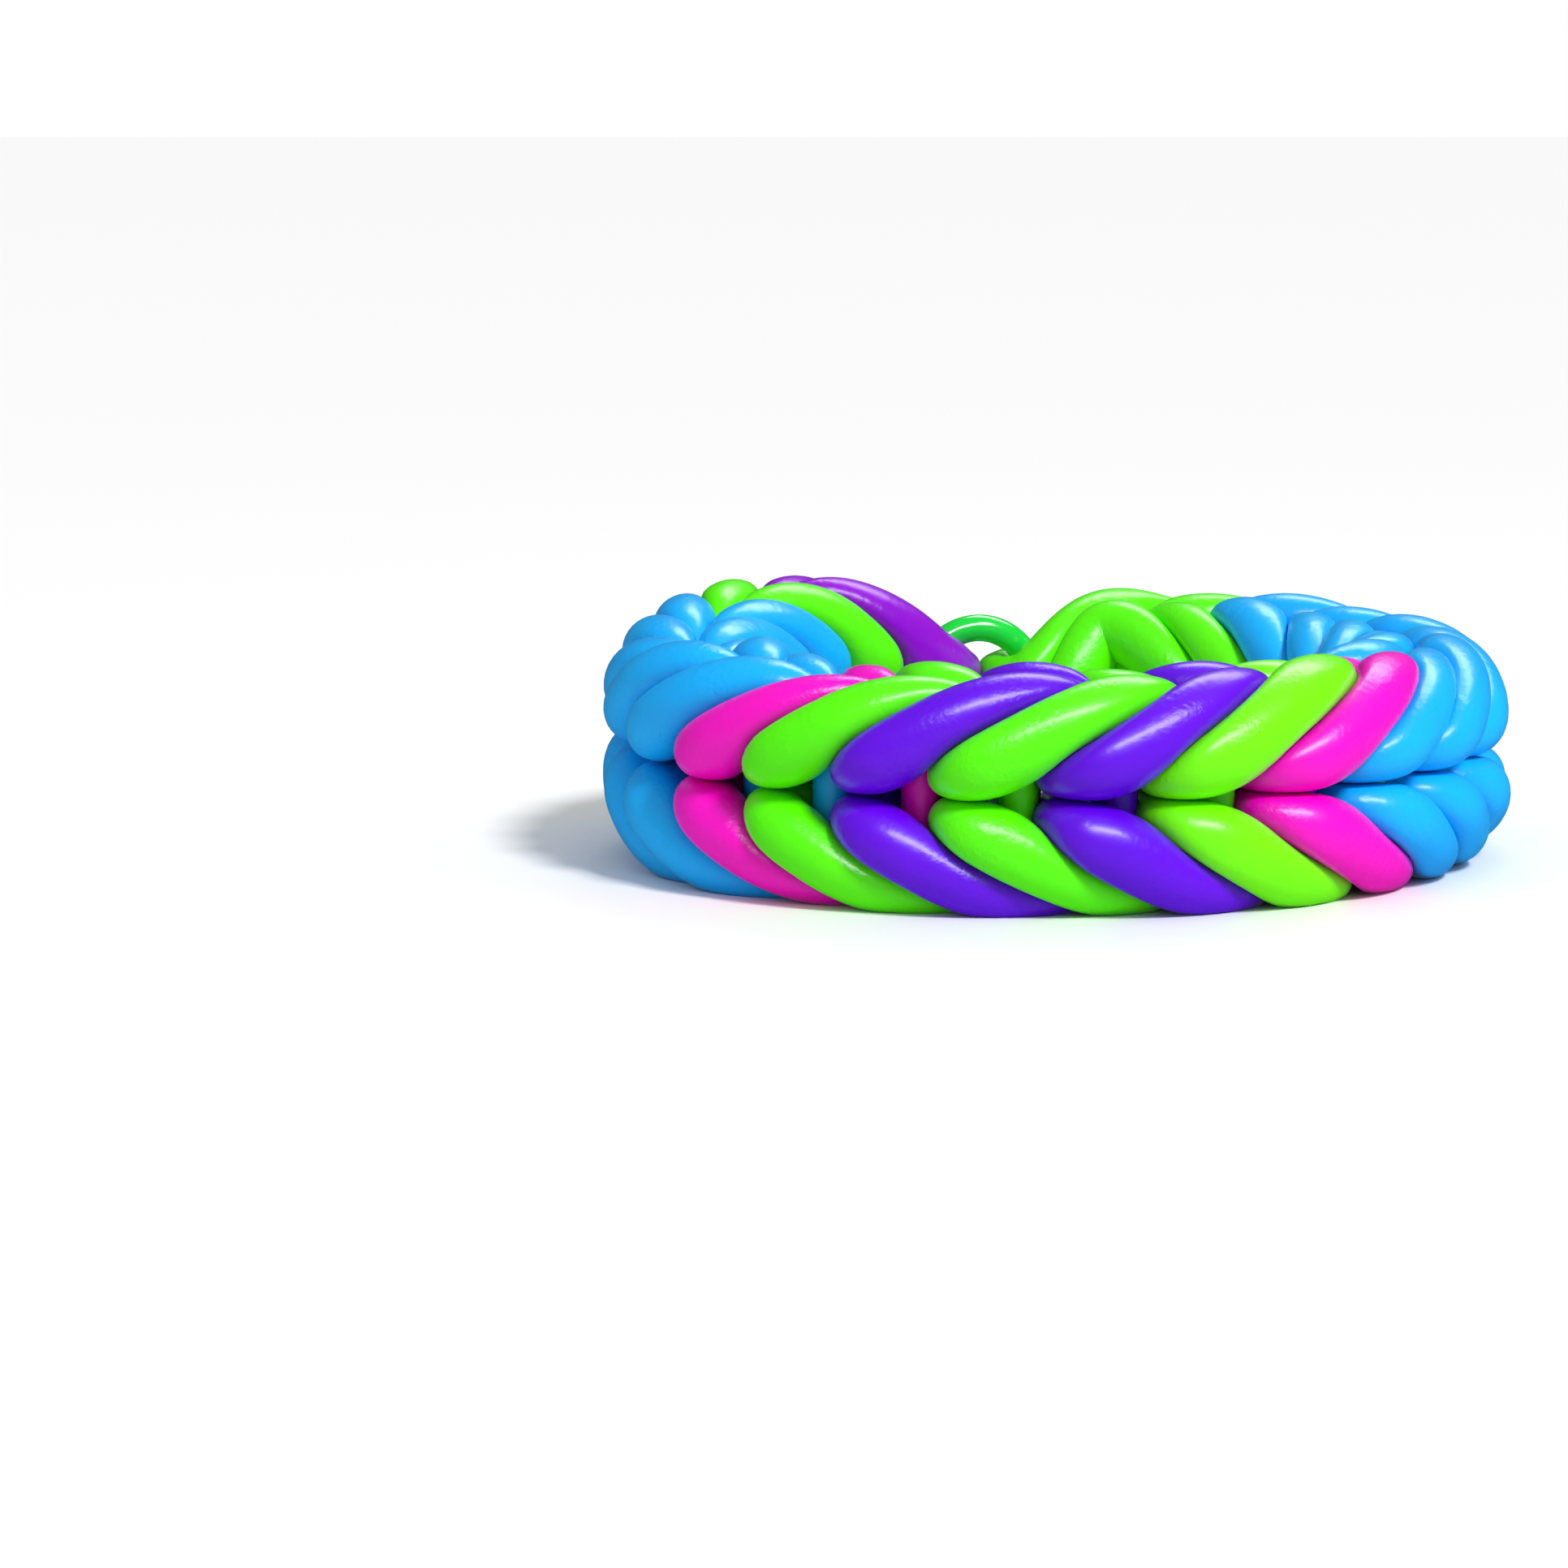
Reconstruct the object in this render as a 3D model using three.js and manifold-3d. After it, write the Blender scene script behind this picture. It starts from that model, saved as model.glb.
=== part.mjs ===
// A fishtail bracelet: 22 rubber bands woven into a chain, bent round and closed by a plastic clip.
// It lies on its side. Millimetres, +Z up, the ring's axis on Z and the clip at the back (+Y).
import * as THREE from 'three';
import Module from 'manifold-3d';
import { mergeVertices } from 'three/addons/utils/BufferGeometryUtils.js';

const wasm = await Module();
wasm.setup();

// the ring
const ringRadius = 27.5;                            // to the middle of the chain
const pitchAngle = THREE.MathUtils.degToRad(14.5);  // from one band to the next
const pitch = ringRadius * pitchAngle;
const frontAngle = THREE.MathUtils.degToRad(-70.5); // where the middle band's loop is centred
const middleBand = 10;
const restHeight = 8.45;                            // of the chain's middle above the table

// the rubber strand, thick where it lies free and thin where it is stretched round its neighbours
const armRadius = 2.4;
const tipRadius = 2.1;
const coreRadius = 1.5;
const coreEnd = 0.6;                                // pitches over which the core swells into the arm
const tipStart = 0.42;
const endRadius = 1.3;                              // at the ends that the clip holds
const leastRadius = 0.5;

// the clip, an oval hoop of round wire with a mouth at the bottom
const clipHalfWidth = 4.7;
const clipHalfHeight = 5.0;
const clipWireRadius = 1.1;
const clipMouth = THREE.MathUtils.degToRad(24);

// the clearance that rigid bands need to move, where rubber would only press: it grows with the
// number of bands apart, because each hinge between them adds its turn
const clearance = 0.6;
const clearancePerBand = 0.14;
const clipClearance = 0.5;

// mesh fineness
const sectionSides = 8;
const ringsPerBand = 40;
const feelersPerBand = 120;                         // points at which a neighbour's place is felt
const reach = 6;                                    // how far away a neighbour is still felt
const neighbourSpan = 3;                            // how many bands on either side are felt

// a quarter of a band's centre line, from the front of its foot to the middle of its tip: height
// across the chain, depth towards the outside, and length along the chain in pitches
const quarter = [
  [0, 1.1, 0], [3.0, 1.3, 0.04], [5.0, 1.2, 0.3], [6.4, 2.5, 0.92], [5.9, 3.8, 1.42],
  [4.3, 4.4, 1.9], [2.5, 4.5, 2.3], [2.1, 2.5, 2.56], [2.05, 0, 2.6],
];
const tipReach = quarter.at(-1)[2];
// the first band's foot is drawn out to the clip with a quarter twist
const firstQuarter = [[0, 1.9, -0.5], [2.3, 1.9, -0.4], [3.4, 1.9, 0], [5, 2, 0.5], ...quarter.slice(3)];
const twistStart = 1;
const twistEnd = 0;
// the last band's tips come together at the clip
const lastQuarter = [
  ...quarter.slice(0, 5), [4.2, 4.1, 1.95], [2.5, 3.4, 2.4], [2, 2.4, 2.75], [1.9, 0, 2.95],
];

const colours = { green: 0x55ff00, cyan: 0x18c8ff, pink: 0xff0cd4, purple: 0x5a00f0 };
const cyans = (count) => Array(count).fill('cyan');
const bandColours = [
  'green', 'green', ...cyans(6), 'pink', 'green', 'purple', 'green', 'purple', 'green', 'pink',
  ...cyans(5), 'green', 'purple',
];
const bandCount = bandColours.length;
const lastBand = bandCount - 1;

const rubber = Object.fromEntries(Object.entries(colours).map(([name, color]) => [
  name, new THREE.MeshStandardMaterial({ name, color, roughness: 0.35, metalness: 0 }),
]));
const clipPlastic = new THREE.MeshStandardMaterial({
  name: 'clip_plastic', color: 0x20c040, roughness: 0.2, metalness: 0, transparent: true, opacity: 0.7,
});

const smooth = (x) => THREE.MathUtils.smoothstep(x, 0, 1);

// a point of the chain, laid round the ring clockwise as seen from above
function aroundRing(height, depth, along, band) {
  const angle = frontAngle + (middleBand - band) * pitchAngle - (along - tipReach / 2) * pitchAngle;
  const radius = ringRadius + depth;
  return new THREE.Vector3(radius * Math.cos(angle), radius * Math.sin(angle), restHeight + height);
}

// the quarter mirrored to the back and then to the other side makes the whole loop
function wholeLoop(points) {
  const back = points.slice(0, -1).reverse().map(([u, v, s]) => [u, -v, s]);
  const upper = [...points, ...back];
  const lower = upper.slice(1, -1).reverse().map(([u, v, s]) => [-u, v, s]);
  return [...upper, ...lower];
}

function twistFoot([u, v, s]) {
  const turn = Math.PI / 2 * smooth((twistStart - s) / (twistStart - twistEnd));
  return [u * Math.cos(turn) + v * Math.sin(turn), v * Math.cos(turn) - u * Math.sin(turn), s];
}

function bandLoop(band) {
  if (band === 0) return wholeLoop(firstQuarter).map(twistFoot);
  return wholeLoop(band === lastBand ? lastQuarter : quarter);
}

// the strand's free radius at a place along the chain
function strandRadius(along, band) {
  const foot = band === 0 ? firstQuarter[0][2] : 0;
  const tip = band === lastBand ? lastQuarter.at(-1)[2] : tipReach;
  const footRadius = band === 0 ? endRadius : coreRadius;
  const headRadius = band === lastBand ? endRadius : tipRadius;
  const swell = smooth((along - foot) / coreEnd);
  const fade = smooth((tip - along) / tipStart);
  return (footRadius + (armRadius - footRadius) * swell) * fade + headRadius * (1 - fade);
}

// the centre line of a band in ring positions, with the strand's radius at each
function centreLine(band, count) {
  const chain = new THREE.CatmullRomCurve3(
    bandLoop(band).map(([u, v, s]) => new THREE.Vector3(u, v, s * pitch)), true, 'centripetal');
  return chain.getPoints(count).slice(0, count).map((p) => ({
    at: aroundRing(p.x, p.y, p.z / pitch, band), radius: strandRadius(p.z / pitch, band),
  }));
}

// the clip's hoop stands upright across the gap, between the last band's tips and the first's foot
const clipAngle = (() => {
  const lastTip = aroundRing(0, 0, lastQuarter.at(-1)[2], lastBand);
  const firstFoot = aroundRing(0, 0, firstQuarter[0][2], 0);
  return Math.atan2(lastTip.y + firstFoot.y, lastTip.x + firstFoot.x);
})();

function clipPoint(turn) {
  const sideways = clipHalfWidth * Math.cos(turn);
  return new THREE.Vector3(
    ringRadius * Math.cos(clipAngle) + sideways * Math.sin(clipAngle),
    ringRadius * Math.sin(clipAngle) - sideways * Math.cos(clipAngle),
    restHeight + clipHalfHeight * Math.sin(turn));
}

function clipLine(count) {
  const start = -Math.PI / 2 + clipMouth / 2;
  const sweep = 2 * Math.PI - clipMouth;
  return Array.from({ length: count }, (_, i) => ({
    at: clipPoint(start + sweep * i / (count - 1)), radius: clipWireRadius,
  }));
}

// directions square to the line at each point, carried along it without twist
function sectionFrames(line, closed, firstNormal) {
  const count = line.length;
  const tangents = line.map((_, i) => {
    const ahead = line[closed ? (i + 1) % count : Math.min(i + 1, count - 1)].at;
    const behind = line[closed ? (i + count - 1) % count : Math.max(i - 1, 0)].at;
    return ahead.clone().sub(behind).normalize();
  });
  const square = (normal, tangent) => (
    normal.clone().addScaledVector(tangent, -normal.dot(tangent)).normalize());
  const normals = [square(firstNormal, tangents[0])];
  for (let i = 1; i < count; i++) normals.push(square(normals[i - 1], tangents[i]));
  let slip = 0;
  if (closed) {
    const end = square(normals[count - 1], tangents[0]);
    const side = tangents[0].clone().cross(normals[0]);
    slip = Math.atan2(end.dot(side), end.dot(normals[0]));
  }
  return normals.map((normal, i) => normal.applyAxisAngle(tangents[i], -slip * i / count))
    .map((normal, i) => ({ normal, side: tangents[i].clone().cross(normal) }));
}

// how far a section may reach towards a direction before it would press on a neighbour's share
function freeRadius(point, direction, feelers) {
  let radius = point.radius;
  for (const feeler of feelers) {
    const towards = direction.dot(feeler.way);
    if (towards <= 0) continue;
    radius = Math.min(radius, feeler.share / towards);
  }
  return Math.max(radius, leastRadius);
}

// every neighbouring point in reach, with the point's share of the distance to it. Two rubber strands
// split the distance by their radii; the hard clip keeps its own
function feelersNear(point, neighbours) {
  const feelers = [];
  for (const { line, gap, skip, stiff } of neighbours) {
    line.forEach((other, i) => {
      if (skip && skip(i)) return;
      const way = other.at.clone().sub(point.at);
      const distance = way.length();
      if (distance > reach) return;
      const share = stiff
        ? distance - other.radius - gap
        : distance * point.radius / (point.radius + other.radius) - gap / 2;
      feelers.push({ way: way.divideScalar(distance), share });
    });
  }
  return feelers;
}

// a tube round a line of points, closed on itself or capped at both ends
function tube(line, closed, firstNormal, neighboursOf) {
  const frames = sectionFrames(line, closed, firstNormal);
  const positions = [];
  line.forEach((point, i) => {
    const feelers = feelersNear(point, neighboursOf(i));
    for (let k = 0; k < sectionSides; k++) {
      const turn = 2 * Math.PI * k / sectionSides;
      const direction = frames[i].normal.clone().multiplyScalar(Math.cos(turn))
        .addScaledVector(frames[i].side, Math.sin(turn));
      const corner = point.at.clone().addScaledVector(direction, freeRadius(point, direction, feelers));
      positions.push(corner.x, corner.y, corner.z);
    }
  });
  const faces = [];
  const spans = closed ? line.length : line.length - 1;
  for (let i = 0; i < spans; i++) {
    const next = (i + 1) % line.length;
    for (let k = 0; k < sectionSides; k++) {
      const after = (k + 1) % sectionSides;
      const [a, b, c, d] = [i, i, next, next].map((ring, n) => ring * sectionSides + (n % 3 ? after : k));
      faces.push(a, b, c, a, c, d);
    }
  }
  if (!closed) {
    for (let k = 1; k < sectionSides - 1; k++) {
      const end = (line.length - 1) * sectionSides;
      faces.push(0, k + 1, k, end, end + k, end + k + 1);
    }
  }
  const geometry = new THREE.BufferGeometry();
  geometry.setAttribute('position', new THREE.Float32BufferAttribute(positions, 3));
  geometry.setIndex(faces);
  return geometry;
}

// a band feels its own far side, but not the seventh of its loop to each side of the point
const selfSpan = feelersPerBand / 7;
const bandLines = bandColours.map((_, band) => centreLine(band, feelersPerBand));
const clipFeelers = clipLine(feelersPerBand);

function bandNeighbours(band, i) {
  const own = i * feelersPerBand / ringsPerBand;
  const nextTo = (j) => {
    const apart = Math.abs(j - own);
    return Math.min(apart, feelersPerBand - apart) < selfSpan;
  };
  const neighbours = [{ line: bandLines[band], gap: clearance, skip: nextTo }];
  for (let other = band - neighbourSpan; other <= band + neighbourSpan; other++) {
    if (other === band || !bandLines[other]) continue;
    neighbours.push({ line: bandLines[other], gap: clearance + clearancePerBand * Math.abs(other - band) });
  }
  if (band === 0) neighbours.push({ line: bandLines[lastBand], gap: clearance });
  if (band === lastBand) neighbours.push({ line: bandLines[0], gap: clearance });
  if (band === 0 || band === lastBand) {
    neighbours.push({ line: clipFeelers, gap: clipClearance, stiff: true });
  }
  return neighbours;
}

function solidOf(geometry) {
  const bare = new THREE.BufferGeometry();
  bare.setAttribute('position', geometry.attributes.position);
  bare.setIndex(geometry.index);
  const merged = mergeVertices(bare);
  return new wasm.Manifold(new wasm.Mesh({
    numProp: 3,
    vertProperties: merged.attributes.position.array,
    triVerts: new Uint32Array(merged.index.array),
  }));
}

const table = solidOf(new THREE.BoxGeometry(100, 100, 10).translate(0, 0, -5));

// the underside, pressed flat where the band lies on the table
function pressFlat(geometry) {
  const { vertProperties, triVerts } = solidOf(geometry).subtract(table).getMesh();
  const flat = new THREE.BufferGeometry();
  flat.setAttribute('position', new THREE.Float32BufferAttribute(vertProperties, 3));
  flat.setIndex(Array.from(triVerts));
  return flat;
}

const bandName = (band) => `band_${String(band + 1).padStart(2, '0')}_${bandColours[band]}`;

function makeBand(band) {
  const line = centreLine(band, ringsPerBand);
  const outwards = line[0].at.clone().setZ(0).normalize();
  const geometry = tube(line, true, outwards, (i) => bandNeighbours(band, i));
  const mesh = new THREE.Mesh(pressFlat(geometry), rubber[bandColours[band]]);
  mesh.name = bandName(band);
  return mesh;
}

function makeClip() {
  const outwards = new THREE.Vector3(Math.cos(clipAngle), Math.sin(clipAngle), 0);
  const mesh = new THREE.Mesh(tube(clipLine(28), false, outwards, () => []), clipPlastic);
  mesh.name = 'clip';
  return mesh;
}

const bracelet = new THREE.Group();
bracelet.name = 'fishtail_bracelet';
bandColours.forEach((_, band) => bracelet.add(makeBand(band)));
bracelet.add(makeClip());

export default bracelet;
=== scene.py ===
import math

import bpy
import numpy as np
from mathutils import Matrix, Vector


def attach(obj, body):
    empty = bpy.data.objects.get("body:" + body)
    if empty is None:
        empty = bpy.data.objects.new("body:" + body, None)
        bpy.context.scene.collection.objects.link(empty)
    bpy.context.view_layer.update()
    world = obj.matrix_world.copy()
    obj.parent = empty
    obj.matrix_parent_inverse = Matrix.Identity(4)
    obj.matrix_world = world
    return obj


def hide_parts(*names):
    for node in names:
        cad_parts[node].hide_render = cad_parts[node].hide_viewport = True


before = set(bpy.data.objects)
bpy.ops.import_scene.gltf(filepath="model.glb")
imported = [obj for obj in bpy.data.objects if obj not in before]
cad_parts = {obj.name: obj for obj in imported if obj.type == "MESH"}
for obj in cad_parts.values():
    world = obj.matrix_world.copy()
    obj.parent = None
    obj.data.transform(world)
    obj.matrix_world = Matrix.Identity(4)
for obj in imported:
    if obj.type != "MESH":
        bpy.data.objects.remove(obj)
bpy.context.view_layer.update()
print("frame loaded, nodes:", len(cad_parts))

# how the rubber loops are woven: millimetres, degrees, and pitches from one band to the next
weave = {
    "ringRadius": 27.5,       # to the middle of the chain
    "pitchAngle": 14.5,       # from one band to the next
    "frontAngle": -70.5,      # where the middle band's loop is centred
    "middleBand": 10,
    "restHeight": 8.45,       # of the chain's middle above the table
    "coreRadius": 1.7,        # strand radius where it is stretched in the core
    "armRadius": 2.7,         # where it lies free on the face
    "tipRadius": 2.55,        # where it turns round its neighbours
    "endRadius": 1.85,        # at the ends that the clip holds
    "coreEnd": 0.6,           # pitches over which the core swells into the arm
    "tipStart": 0.45,         # and over which the arm narrows to the tip
    "rings": 260,             # round one loop
    "sides": 36,              # round the strand
    "between": 40,            # fine points from one key point to the next
    "lineBlur": 3.0,          # rings over which the centre line is evened out
}

# how the strands press on each other
press = {
    "gap": 0.03,              # mm aimed at between two pressed strands
    "leastRadius": 0.55,      # mm, the thinnest that a pressed strand gets
    "leastShare": 0.275,      # mm, the least that a strand keeps of the way to a neighbour
    "softness": 9.0,          # exponent of the soft minimum that rounds off the pressed faces
    "reach": 6.5,             # mm, how far away a neighbour can press
    "span": 3,                # how many bands on either side press
    "ownPart": 7,             # a loop doesn't press on this part of itself, to each side
    "feelEvery": 2,           # rings of a neighbour from one felt place to the next
    "blurAlong": 1.6,         # rings over which the pressed faces run out
    "blurAround": 0.9,        # and sides
    "free": 99.0,             # mm, the limit where nothing presses
}

# a quarter of a band's centre line, from the front of its foot to the middle of its tip:
# height across the chain, depth towards the outside, and length along the chain in pitches
quarter = [
    [0, 0.9, 0], [3.0, 1.1, 0.04], [5.1, 1.3, 0.31], [6.3, 2.3, 0.9], [5.65, 3.75, 1.4],
    [4.0, 4.6, 1.9], [2.4, 4.8, 2.3], [2.1, 2.7, 2.58], [2.05, 0, 2.62],
]
# the first band's foot is drawn out to the clip with a quarter twist
firstQuarter = [[0, 1.9, -0.5], [2.3, 1.9, -0.4], [3.4, 1.9, 0], [5, 2, 0.5]] + quarter[3:]
twist = {"start": 1.0, "end": 0.0}
# the last band's tips come together at the clip
lastQuarter = quarter[:5] + [[4.2, 4.1, 1.95], [2.5, 3.4, 2.4], [2, 2.4, 2.75], [1.9, 0, 2.95]]

# the chain stands a little off the table just before the clip, in millimetres and pitches
lift = {"height": 2.4, "middle": 10.0, "width": 1.7}

# no two rubber loops lie alike: how far each one may stray from the pattern
stray = {
    "height": 0.035,          # part of its height by which a loop is taller or flatter
    "along": 0.05,            # pitches by which it lies earlier or later
    "wave": 0.14,             # mm that its line wanders
    "thickness": 0.03,        # part of the radius that the strand swells and thins
    "harmonics": 4,           # waves round the loop, each weaker than the one before
    "anyPhase": 6.28,         # radians
    "held": 0.35,             # share of the stray that is left on the two bands at the clip
    "core": 0.3,              # share of the wandering that is left in the core
    "seed": 41,
}

bandColours = (["green", "green"] + ["cyan"] * 6
               + ["pink", "lime", "purple", "green", "purple", "green", "pink"]
               + ["cyan"] * 5 + ["green", "violet"])
bandCount = len(bandColours)
lastBand = bandCount - 1
tipReach = 2.6                # pitches, of the pattern that the ring was laid out with
pitch = weave["ringRadius"] * math.radians(weave["pitchAngle"])


def smooth(x):
    # 3x^2 - 2x^3 between 0 and 1
    x = np.clip(x, 0, 1)
    return x * x * (3 - 2 * x)


def ringPlace(height, depth, along, band):
    # chain coordinates laid round the ring, clockwise as seen from above, and raised by a bell,
    # height x e^(-x^2 / 2), towards the clip
    turn = weave["middleBand"] - band - (along - tipReach / 2)
    angle = np.radians(weave["frontAngle"] + turn * weave["pitchAngle"])
    radius = weave["ringRadius"] + depth
    rise = lift["height"] * np.exp(-0.5 * ((-turn - lift["middle"]) / lift["width"]) ** 2)
    height = weave["restHeight"] + height + rise
    return np.stack([radius * np.cos(angle), radius * np.sin(angle), height], -1)


def wholeLoop(points):
    # the quarter mirrored to the back, then to the lower side
    upper = np.vstack([points, np.array(points)[-2::-1] * [1, -1, 1]])
    return np.vstack([upper, upper[-2:0:-1] * [-1, 1, 1]])


def twistFoot(points):
    # turn about the chain's line, growing from 0 to a quarter towards the clip
    turn = math.pi / 2 * smooth((twist["start"] - points[:, 2]) / (twist["start"] - twist["end"]))
    height = points[:, 0] * np.cos(turn) + points[:, 1] * np.sin(turn)
    depth = points[:, 1] * np.cos(turn) - points[:, 0] * np.sin(turn)
    return np.stack([height, depth, points[:, 2]], -1)


def evenly(line, count):
    # the closed line resampled at equal steps of its length
    closed = np.vstack([line, line[:1]])
    length = np.r_[0, np.cumsum(np.linalg.norm(np.diff(closed, axis=0), axis=1))]
    at = np.linspace(0, length[-1], count, endpoint=False)
    return np.stack([np.interp(at, length, closed[:, i]) for i in range(3)], -1)


def closedCurve(points, count):
    # centripetal Catmull-Rom through the points: between two of them a cubic whose end slopes come
    # from the neighbours, with knots spaced by the square root of the distance
    p0, p1, p2, p3 = (np.roll(points, shift, 0) for shift in (1, 0, -1, -2))
    d0, d1, d2 = (np.linalg.norm(b - a, axis=1, keepdims=True) ** 0.5
                  for a, b in ((p0, p1), (p1, p2), (p2, p3)))
    slope1 = ((p1 - p0) / d0 - (p2 - p0) / (d0 + d1) + (p2 - p1) / d1) * d1
    slope2 = ((p2 - p1) / d1 - (p3 - p1) / (d1 + d2) + (p3 - p2) / d2) * d1
    t = np.linspace(0, 1, weave["between"], endpoint=False)[None, :, None]
    a, b, c, d = (x[:, None] for x in (p1, slope1, p2, slope2))
    fine = ((2 * t**3 - 3 * t**2 + 1) * a + (t**3 - 2 * t**2 + t) * b
            + (3 * t**2 - 2 * t**3) * c + (t**3 - t**2) * d).reshape(-1, 3)
    return evenly(fine, count)


def blurred(values, width, axis=0):
    # running average round a closed axis, weighted by a bell of that width in samples
    steps = np.arange(-int(3 * width) - 1, int(3 * width) + 2)
    weights = np.exp(-0.5 * (steps / width) ** 2)
    return sum(w * np.roll(values, s, axis) for w, s in zip(weights / weights.sum(), steps))


def strandRadius(along, band):
    # the free radius along the chain, foot to arm to tip, with the share of the arm at each place
    foot = firstQuarter[0][2] if band == 0 else quarter[0][2]
    tip = lastQuarter[-1][2] if band == lastBand else quarter[-1][2]
    footRadius = weave["endRadius"] if band == 0 else weave["coreRadius"]
    headRadius = weave["endRadius"] if band == lastBand else weave["tipRadius"]
    swell = smooth((along - foot) / weave["coreEnd"])
    fade = smooth((tip - along) / weave["tipStart"])
    radius = (footRadius + (weave["armRadius"] - footRadius) * swell) * fade + headRadius * (1 - fade)
    return radius, swell * fade


def bandLine(band):
    # one band's centre line in ring positions, with the strand's radius at each point
    points = wholeLoop({0: firstQuarter, lastBand: lastQuarter}.get(band, quarter)).astype(float)
    if band == 0:
        points = twistFoot(points)
    chain = blurred(closedCurve(points * [1, 1, pitch], weave["rings"]), weave["lineBlur"])
    radius, onArm = strandRadius(chain[:, 2] / pitch, band)
    # the stray: slow waves of cos(k x turn + phase) / k, and a taller or earlier loop
    random = np.random.RandomState(stray["seed"] + band)
    turn = np.linspace(0, 2 * math.pi, weave["rings"], endpoint=False)
    calm = stray["held"] if band in (0, lastBand) else 1.0
    orders = range(1, stray["harmonics"] + 1)
    waves = sum(random.normal(0, 1, 3) * np.cos(k * turn + random.uniform(0, stray["anyPhase"]))[:, None] / k
                for k in orders)
    thick = sum(random.normal(0, 1) * np.cos(k * turn + random.uniform(0, stray["anyPhase"])) / k
                for k in orders)
    chain = chain * [1 + calm * stray["height"] * random.normal(), 1, 1]
    chain[:, 2] += calm * stray["along"] * pitch * random.normal() * onArm
    chain += calm * stray["wave"] * waves * (stray["core"] + (1 - stray["core"]) * onArm)[:, None]
    radius = radius * (1 + stray["thickness"] * thick)
    return ringPlace(chain[:, 0], chain[:, 1], chain[:, 2] / pitch, band), radius


# the clip's hoop stands upright across the gap between the chain's two ends, in millimetres
clip = {
    "halfWidth": 4.7,         # along the chain, to the middle of the wire
    "halfHeight": 5.0,
    "wireRadius": 1.1,
    "rise": 1.1,              # of its middle above the chain's
    "mouth": 24.0,            # the opening at the bottom, in degrees of the hoop
    "rings": 120,
    "sides": 24,
    "domeRings": 8,           # over each rounded end of the wire
    "domeEnd": 88.0,          # degrees, just short of the pole
}


def clipLine(count):
    # an ellipse in the upright plane along the chain, from one side of the mouth to the other
    lastTip = ringPlace(0, 0, lastQuarter[-1][2], lastBand)
    firstFoot = ringPlace(0, 0, firstQuarter[0][2], 0)
    angle = math.atan2(lastTip[1] + firstFoot[1], lastTip[0] + firstFoot[0])
    turn = np.radians(np.linspace(-90 + clip["mouth"] / 2, 270 - clip["mouth"] / 2, count))
    sideways = clip["halfWidth"] * np.cos(turn)
    return np.stack([
        weave["ringRadius"] * math.cos(angle) + sideways * math.sin(angle),
        weave["ringRadius"] * math.sin(angle) - sideways * math.cos(angle),
        weave["restHeight"] + clip["rise"] + clip["halfHeight"] * np.sin(turn)], -1)


lines = [bandLine(band) for band in range(bandCount)]
hoop = clipLine(clip["rings"])
print("centre lines laid out:", bandCount, "bands and the clip")


def sectionWays(line):
    # directions square to the line, counted from the one that points away from the loop's middle
    ahead = np.roll(line, -1, 0) - np.roll(line, 1, 0)
    tangent = ahead / np.linalg.norm(ahead, axis=1, keepdims=True)
    outward = line - line.mean(0)
    outward -= tangent * (outward * tangent).sum(1, keepdims=True)
    outward /= np.linalg.norm(outward, axis=1, keepdims=True)
    side = np.cross(tangent, outward)
    turn = np.linspace(0, 2 * math.pi, weave["sides"], endpoint=False)[None, :, None]
    return outward[:, None] * np.cos(turn) + side[:, None] * np.sin(turn)


def pressLimit(line, radius, ways, other, otherRadius, stiff=False, nextTo=None):
    # how far a section can reach before it meets the plane that it shares with a neighbour's
    # section: two rubber strands split the distance by their radii, the hard wire keeps its own
    towards = other[None] - line[:, None]
    distance = np.linalg.norm(towards, axis=2)
    if stiff:
        share = distance - otherRadius - press["gap"]
    else:
        share = distance * radius[:, None] / (radius[:, None] + otherRadius[None]) - press["gap"] / 2
    share = np.maximum(share, press["leastShare"])
    lean = np.einsum("isx,ijx->isj", ways, towards)
    far = distance > press["reach"]
    if nextTo is not None:
        far = far | nextTo
    ahead = (lean > 1e-6) & ~far[:, None]
    return np.where(ahead, (share * distance)[:, None] / np.maximum(lean, 1e-6), press["free"]).min(2)


def bandSurface(band):
    # every section's radius is the soft minimum, 1 / (sum of 1/r^p)^(1/p), of the free radius and
    # of the limits that the neighbouring strands set
    line, radius = lines[band]
    ways = sectionWays(line)
    count = len(line)
    every = slice(None, None, press["feelEvery"])
    step = np.arange(count)
    apart = np.abs(step[:, None] - step[None, every])
    nextTo = np.minimum(apart, count - apart) < count / press["ownPart"]
    limits = [pressLimit(line, radius, ways, line[every], radius[every], nextTo=nextTo)]
    span = press["span"]
    near = [other for other in range(band - span, band + span + 1) if other != band]
    if band in (0, lastBand):
        near.append(lastBand - band)
        wire = np.full(len(hoop), clip["wireRadius"])
        limits.append(pressLimit(line, radius, ways, hoop, wire, stiff=True))
    for other in near:
        if 0 <= other < bandCount:
            otherLine, otherRadius = lines[other]
            limits.append(pressLimit(line, radius, ways, otherLine[every], otherRadius[every]))
    power = press["softness"]
    total = radius[:, None] ** -power + sum(limit ** -power for limit in limits)
    reach = np.maximum(total ** (-1 / power), press["leastRadius"])
    reach = blurred(blurred(reach, press["blurAlong"], 0), press["blurAround"], 1)
    places = line[:, None] + ways * reach[..., None]
    places[..., 2] = np.maximum(places[..., 2], 0)   # pressed flat where it lies on the table
    return places


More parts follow.
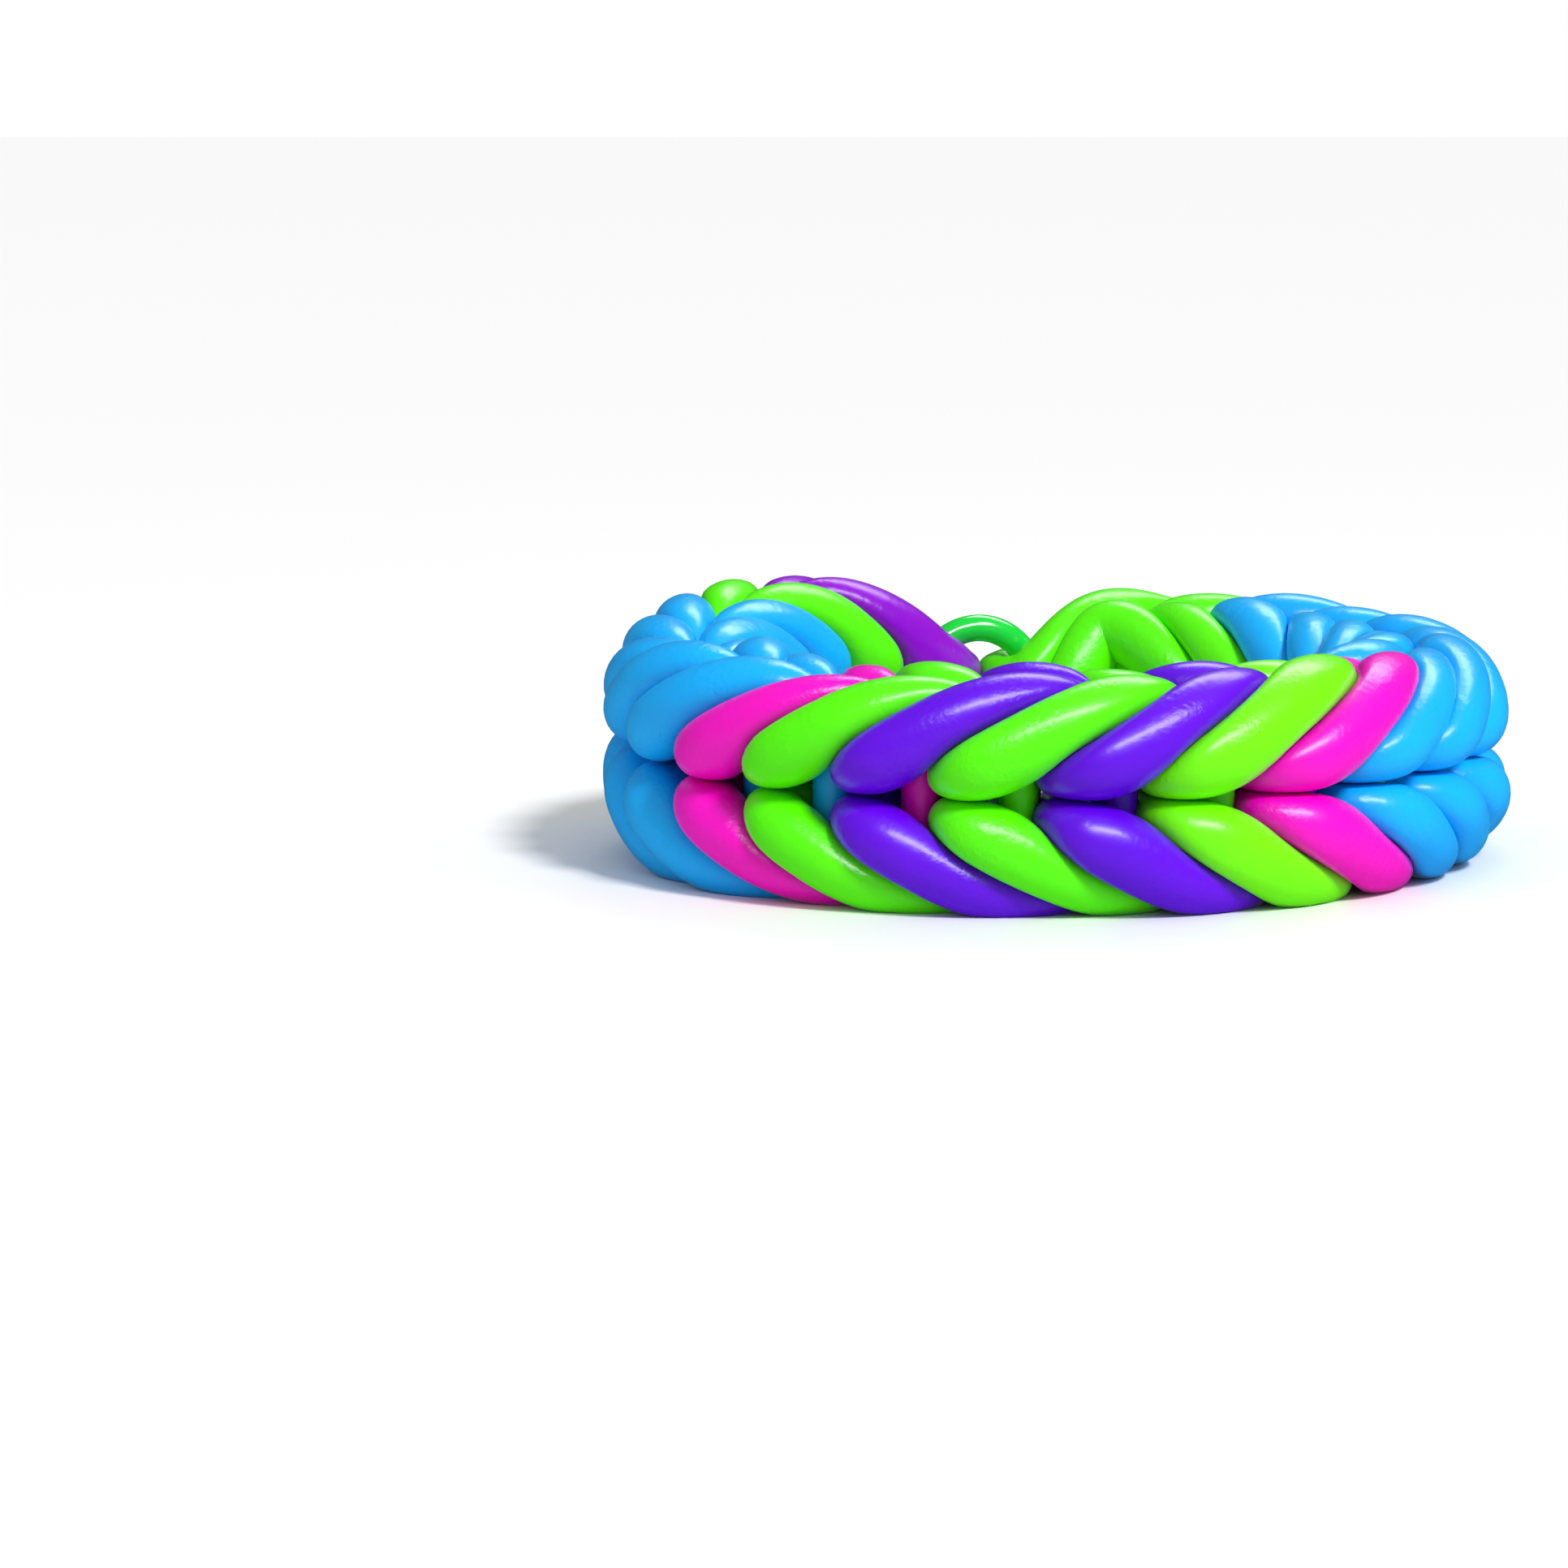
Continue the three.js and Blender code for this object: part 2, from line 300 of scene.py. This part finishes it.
def gridMesh(name, places, closedAlong=True):
    # a grid of points, closed round the second direction and, if asked, along the first, with UVs
    # in turns round the loop and turns round the strand
    rings, sides = places.shape[:2]
    spans = rings if closedAlong else rings - 1
    i, k = np.meshgrid(np.arange(spans), np.arange(sides), indexing="ij")
    corners = [(i, k), (i, k + 1), (i + 1, k + 1), (i + 1, k)]
    faces = np.stack([(a % rings) * sides + b % sides for a, b in corners], -1).reshape(-1, 4)
    uv = np.stack([np.stack([a / spans, b / sides], -1) for a, b in corners], -2).reshape(-1, 2)
    start = list(range(sides))
    capped = [] if closedAlong else [start[::-1], [(rings - 1) * sides + s for s in start]]
    mesh = bpy.data.meshes.new(name)
    mesh.from_pydata((places.reshape(-1, 3) / 1000).tolist(), [], faces.tolist() + capped)
    layer = mesh.uv_layers.new(name="UVMap")
    flat = np.zeros((len(mesh.loops), 2))
    flat[:len(uv)] = uv
    layer.data.foreach_set("uv", flat.ravel())
    mesh.polygons.foreach_set("use_smooth", [True] * len(mesh.polygons))
    mesh.update()
    piece = bpy.data.objects.new(name, mesh)
    bpy.context.scene.collection.objects.link(piece)
    return piece


def linear(code):
    # sRGB hex to linear: (c + 0.055) / 1.055 to the power 2.4, and c / 12.92 near black
    parts = [int(code[i:i + 2], 16) / 255 for i in (0, 2, 4)]
    return [c / 12.92 if c <= 0.04045 else ((c + 0.055) / 1.055) ** 2.4 for c in parts] + [1.0]


def addNode(tree, kind, settings=None, links=None):
    # one node, with its attributes or socket values, and links to its inputs
    node = tree.nodes.new(kind)
    for key, value in (settings or {}).items():
        if isinstance(key, str) and hasattr(node, key):
            setattr(node, key, value)
        else:
            node.inputs[key].default_value = value
    for key, source in (links or {}).items():
        tree.links.new(source, node.inputs[key])
    return node


# Moulded silicone rubber: dense even colour with a little light going in at the thin edges, a
# satin gloss, a fine orange-peel skin and a few faint stretch lines across the strand.
silicone = {
    "colours": {               # the body colour, and the deeper one that shows in slow patches
        "green": ("5eee00", "4ce600"),
        "lime": ("78f002", "64ec02"),
        "cyan": ("0cb2f4", "0a9cf0"),
        "pink": ("f000c8", "e600b0"),
        "purple": ("6600dc", "5200ce"),
        "violet": ("9400c8", "7c00bc"),
    },
    "roughness": 0.32,
    "ior": 1.43,               # silicone rubber
    "specular": 0.38,
    "coat": 0.12,
    "coatRoughness": 0.18,
    "scatter": 0.16,
    "scatterDepth": 0.0012,    # metres that light goes in
    "patch": 9.0,              # mm across a slow patch of deeper colour
    "peel": 0.42,              # mm from bump to bump of the skin
    "peelHeight": 0.08,        # mm
    "peelPatch": 4.0,          # mm across the patches where the skin is rough or smooth
    "smoothBelow": 0.42,       # noise value of the smooth patches
    "roughAbove": 0.66,        # and of the rough ones
    "leastPeel": 0.15,         # share of the peel that is left on the smooth patches
    "lines": 190,              # faint stretch lines in one turn of the loop
    "linesAcross": 4.0,        # and how often each breaks in one turn round the strand
    "linesHeight": 0.06,       # mm
    "linesStrength": 0.6,
}


def siliconeColour(tree, place, body, deep):
    # the body colour, mixed with the deeper one by a slow noise
    patches = addNode(tree, "ShaderNodeTexNoise", {"Scale": 1000 / silicone["patch"], "Detail": 2.0},
                      {"Vector": place.outputs["Object"]})
    mixed = addNode(tree, "ShaderNodeMix", {"data_type": "RGBA", 6: linear(body), 7: linear(deep)},
                    {0: patches.outputs["Fac"]})
    return mixed.outputs[2]


def siliconeSkin(tree, place):
    # the orange peel, stronger in some patches than in others, and then the stretch lines
    peel = addNode(tree, "ShaderNodeTexNoise", {"Scale": 1000 / silicone["peel"], "Detail": 3.0},
                   {"Vector": place.outputs["Object"]})
    patches = addNode(tree, "ShaderNodeTexNoise", {"Scale": 1000 / silicone["peelPatch"], "Detail": 2.0},
                      {"Vector": place.outputs["Object"]})
    amount = addNode(tree, "ShaderNodeMapRange",
                     {"From Min": silicone["smoothBelow"], "From Max": silicone["roughAbove"],
                      "To Min": silicone["leastPeel"], "To Max": 1.0},
                     {"Value": patches.outputs["Fac"]})
    height = addNode(tree, "ShaderNodeMath", {"operation": "MULTIPLY"},
                     {0: peel.outputs["Fac"], 1: amount.outputs["Result"]})
    peelBump = addNode(tree, "ShaderNodeBump",
                       {"Strength": 1.0, "Distance": silicone["peelHeight"] / 1000},
                       {"Height": height.outputs["Value"]})
    stretched = addNode(tree, "ShaderNodeMapping",
                        {"Scale": (silicone["lines"], silicone["linesAcross"], 1.0)},
                        {"Vector": place.outputs["UV"]})
    drawn = addNode(tree, "ShaderNodeTexNoise", {"Scale": 1.0, "Detail": 1.0},
                    {"Vector": stretched.outputs["Vector"]})
    lineBump = addNode(tree, "ShaderNodeBump",
                       {"Strength": silicone["linesStrength"], "Distance": silicone["linesHeight"] / 1000},
                       {"Height": drawn.outputs["Fac"], "Normal": peelBump.outputs["Normal"]})
    return lineBump.outputs["Normal"]


def siliconeMaterial(colour):
    material = bpy.data.materials.new("mouldedSilicone" + colour.capitalize())
    material.use_nodes = True
    tree = material.node_tree
    shader = tree.nodes["Principled BSDF"]
    place = addNode(tree, "ShaderNodeTexCoord")
    tree.links.new(siliconeColour(tree, place, *silicone["colours"][colour]), shader.inputs["Base Color"])
    tree.links.new(siliconeSkin(tree, place), shader.inputs["Normal"])
    shader.inputs["Roughness"].default_value = silicone["roughness"]
    shader.inputs["IOR"].default_value = silicone["ior"]
    shader.inputs["Specular IOR Level"].default_value = silicone["specular"]
    shader.inputs["Coat Weight"].default_value = silicone["coat"]
    shader.inputs["Coat Roughness"].default_value = silicone["coatRoughness"]
    shader.inputs["Subsurface Weight"].default_value = silicone["scatter"]
    shader.inputs["Subsurface Radius"].default_value = (1.0, 1.0, 1.0)
    shader.inputs["Subsurface Scale"].default_value = silicone["scatterDepth"]
    return material


# the record's material slot for each colour
slots = {"green": "rubber_green", "lime": "rubber_green", "cyan": "rubber_cyan", "pink": "rubber_pink",
         "purple": "rubber_purple", "violet": "rubber_purple"}
finishes = {colour: siliconeMaterial(colour) for colour in slots}
print("silicone mixed:", len(finishes), "colours")


def makeBand(band):
    colour = bandColours[band]
    slot = slots[colour]
    number = f"{band + 1:02d}"
    piece = gridMesh("loop_" + number, bandSurface(band))
    piece.data.materials.append(finishes[colour])
    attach(piece, "band_" + number)
    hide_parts(f"band_{number}_{slot.split('_')[1]}")


for band in range(bandCount):
    makeBand(band)
print("rubber loops woven")

# Injection-moulded polycarbonate, dyed and clear: light goes into it and out again, under a hard
# gloss.
clipFinish = {
    "colour": "20e048",
    "roughness": 0.16,
    "ior": 1.58,              # polycarbonate
    "clear": 0.22,
    "scatter": 0.3,
    "scatterDepth": 0.001,    # metres that light goes in
}


def clipMaterial():
    material = bpy.data.materials.new("mouldedPolycarbonateGreen")
    material.use_nodes = True
    shader = material.node_tree.nodes["Principled BSDF"]
    shader.inputs["Base Color"].default_value = linear(clipFinish["colour"])
    shader.inputs["Roughness"].default_value = clipFinish["roughness"]
    shader.inputs["IOR"].default_value = clipFinish["ior"]
    shader.inputs["Transmission Weight"].default_value = clipFinish["clear"]
    shader.inputs["Subsurface Weight"].default_value = clipFinish["scatter"]
    shader.inputs["Subsurface Scale"].default_value = clipFinish["scatterDepth"]
    return material


def makeClip():
    # the wire carried along the hoop, square to it, with a dome at both ends: there the path runs on
    # by radius x sin and the wire narrows to radius x cos
    ahead = np.gradient(hoop, axis=0)
    tangent = ahead / np.linalg.norm(ahead, axis=1, keepdims=True)
    flatWay = np.cross(tangent[0], tangent[len(tangent) // 4])   # square to the hoop's plane
    flatWay /= np.linalg.norm(flatWay)
    side = np.cross(tangent, flatWay)
    domeRings, wire = clip["domeRings"], clip["wireRadius"]
    dome = np.radians(np.linspace(0, clip["domeEnd"], domeRings))
    starts = hoop[0] - tangent[0] * wire * np.sin(dome)[::-1, None]
    ends = hoop[-1] + tangent[-1] * wire * np.sin(dome)[:, None]
    path = np.vstack([starts, hoop[1:-1], ends])
    width = np.r_[np.cos(dome)[::-1], np.ones(len(hoop) - 2), np.cos(dome)] * wire
    sides = np.vstack([np.repeat(side[:1], domeRings, 0), side[1:-1], np.repeat(side[-1:], domeRings, 0)])
    turn = np.linspace(0, 2 * math.pi, clip["sides"], endpoint=False)[None, :, None]
    around = flatWay[None, None] * np.cos(turn) + sides[:, None] * np.sin(turn)
    piece = gridMesh("hook_clip", path[:, None] + around * width[:, None, None], closedAlong=False)
    piece.data.materials.append(clipMaterial())
    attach(piece, "clip")
    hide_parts("clip")


makeClip()
print("clip made")

# the floor, the light and the white wall, in metres, watts and degrees
studio = {
    "floor": "f2f2f2",
    "floorHalf": 3.0,
    "floorRoughness": 0.6,
    "backdrop": 1.0,          # how bright the wall behind looks
    "sky": 0.62,              # how much light it gives
    "skyGloss": 0.06,         # and how bright it is in a reflection
    "sun": {"way": (0.44, -0.54, 0.72), "angle": 12.0, "power": 2.9},
    "strip": {"place": (0.08, -0.32, 0.32), "size": (0.36, 0.09), "power": 3.2},
    "rim": {"place": (0.10, 0.24, 0.34), "size": (0.30, 0.14), "power": 1.1},
}


def makeFloor():
    half = studio["floorHalf"]
    mesh = bpy.data.meshes.new("floor")
    mesh.from_pydata([(-half, -half, 0), (half, -half, 0), (half, half, 0), (-half, half, 0)], [],
                     [(0, 1, 2, 3)])
    floor = bpy.data.objects.new("floor", mesh)
    bpy.context.scene.collection.objects.link(floor)
    material = bpy.data.materials.new("paintedBoard")
    material.use_nodes = True
    shader = material.node_tree.nodes["Principled BSDF"]
    shader.inputs["Base Color"].default_value = linear(studio["floor"])
    shader.inputs["Roughness"].default_value = studio["floorRoughness"]
    mesh.materials.append(material)
    floor.visible_glossy = False      # a white floor would veil the colours of the loops' undersides


def makeLights():
    sun = bpy.data.lights.new("sun", "SUN")
    sun.energy = studio["sun"]["power"]
    sun.angle = math.radians(studio["sun"]["angle"])
    placed = [(sun, studio["sun"]["way"])]
    for name in ("strip", "rim"):
        lamp = studio[name]
        data = bpy.data.lights.new(name, "AREA")
        data.shape = "RECTANGLE"
        data.size, data.size_y = lamp["size"]
        data.energy = lamp["power"]
        placed.append((data, lamp["place"]))
    for data, place in placed:
        light = bpy.data.objects.new(data.name, data)
        light.location = place
        light.rotation_euler = (-Vector(place)).to_track_quat("-Z", "Y").to_euler()
        light.visible_glossy = data is not sun      # the two lamps draw the gloss, the sun only lights
        light.visible_diffuse = data is sun
        bpy.context.scene.collection.objects.link(light)


# metres and degrees
camera = {
    "aim": (0.0, 0.0, 0.0085),
    "distance": 0.42,
    "elevation": 7.4,
    "turn": 0.0,
    "lens": 125.0,            # mm
    "shift": (-0.173, -0.026),
    "near": 0.01,
}


def makeCamera():
    data = bpy.data.cameras.new("camera")
    view = bpy.data.objects.new("camera", data)
    tilt, turn = math.radians(camera["elevation"]), math.radians(camera["turn"])
    way = Vector((math.sin(turn) * math.cos(tilt), -math.cos(turn) * math.cos(tilt), math.sin(tilt)))
    view.location = Vector(camera["aim"]) + way * camera["distance"]
    view.rotation_euler = (-way).to_track_quat("-Z", "Y").to_euler()
    data.lens = camera["lens"]
    data.shift_x, data.shift_y = camera["shift"]
    data.clip_start = camera["near"]
    bpy.context.scene.collection.objects.link(view)
    bpy.context.scene.camera = view


def makeSky():
    # white, with one brightness to look at, one to be lit by and one to reflect
    world = bpy.data.worlds.new("sky")
    world.use_nodes = True
    tree = world.node_tree
    tree.nodes["Background"].inputs["Color"].default_value = (1, 1, 1, 1)
    rays = addNode(tree, "ShaderNodeLightPath")
    lit = addNode(tree, "ShaderNodeMapRange", {"To Min": studio["sky"], "To Max": studio["skyGloss"]},
                  {"Value": rays.outputs["Is Glossy Ray"]})
    bright = addNode(tree, "ShaderNodeMapRange", {"To Max": studio["backdrop"]},
                     {"Value": rays.outputs["Is Camera Ray"], "To Min": lit.outputs["Result"]})
    tree.links.new(bright.outputs["Result"], tree.nodes["Background"].inputs["Strength"])
    bpy.context.scene.world = world
    bpy.context.scene.view_settings.view_transform = "Standard"


makeFloor()
makeLights()
makeCamera()
makeSky()
print("floor, lights and camera set")
